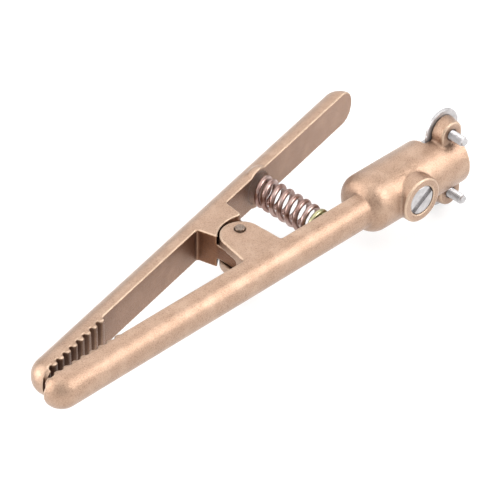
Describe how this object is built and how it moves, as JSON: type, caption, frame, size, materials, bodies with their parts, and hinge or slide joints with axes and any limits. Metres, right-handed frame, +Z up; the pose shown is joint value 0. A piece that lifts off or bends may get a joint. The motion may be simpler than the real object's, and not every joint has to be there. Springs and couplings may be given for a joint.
{
  "type": "welding ground clamp",
  "caption": "Spring-loaded cast brass welding ground clamp with toothed jaws on a pivot pin, a cable socket with a slotted set screw, and a saddle strap across the open end of the socket.",
  "frame": {"origin": "bottom centre of the whole clamp's box at rest, the clamp lying on its side with the pivot pin upright", "axes": "+X from the jaw to the cable socket, +Y from the main arm to the lever, +Z up along the pivot pin"},
  "size_m": [0.2298, 0.0756, 0.047],
  "materials": {
    "cast_brass": "matte blasted sand casting",
    "pin_steel": "dull",
    "spring_steel": "satin wire with a faint yellow passivation",
    "zinc_plate": "bright zinc plated"
  },
  "bodies": {
    "frame": {"main_arm": "cast_brass", "pivot_pin": "pin_steel", "jaw_spring": "spring_steel"},
    "lever": {"lever_arm": "cast_brass"},
    "set_screw": {"cable_set_screw": "zinc_plate"},
    "strap": {"saddle_strap": "zinc_plate"},
    "upper_screw": {"upper_strap_screw": "zinc_plate"},
    "lower_screw": {"lower_strap_screw": "zinc_plate"}
  },
  "joints": [
    {"name": "jaw_pivot", "type": "hinge", "parent": "frame", "child": "lever", "pos_m": [0.0061, -0.00704, 0.0235], "axis": [0, 0, -1], "range_deg": [0, 20], "stiffness_Nm_per_rad": 8, "springref_deg": -11.46, "deforming": ["jaw_spring"]},
    {"name": "set_screw_travel", "type": "slide", "parent": "frame", "child": "set_screw", "axis": [0, 1, 0], "range_m": [-0.003, 0.004]},
    {"name": "strap_lift", "type": "slide", "parent": "frame", "child": "strap", "axis": [0, 1, 0], "range_m": [0, 0.004]},
    {"name": "upper_screw_travel", "type": "slide", "parent": "frame", "child": "upper_screw", "axis": [0, 1, 0], "range_m": [0, 0.004]},
    {"name": "lower_screw_travel", "type": "slide", "parent": "frame", "child": "lower_screw", "axis": [0, 1, 0], "range_m": [0, 0.004]}
  ],
  "couplings": [
    {"joint": "upper_screw_travel", "follows": "strap_lift", "ratio": 1},
    {"joint": "lower_screw_travel", "follows": "strap_lift", "ratio": 1}
  ]
}
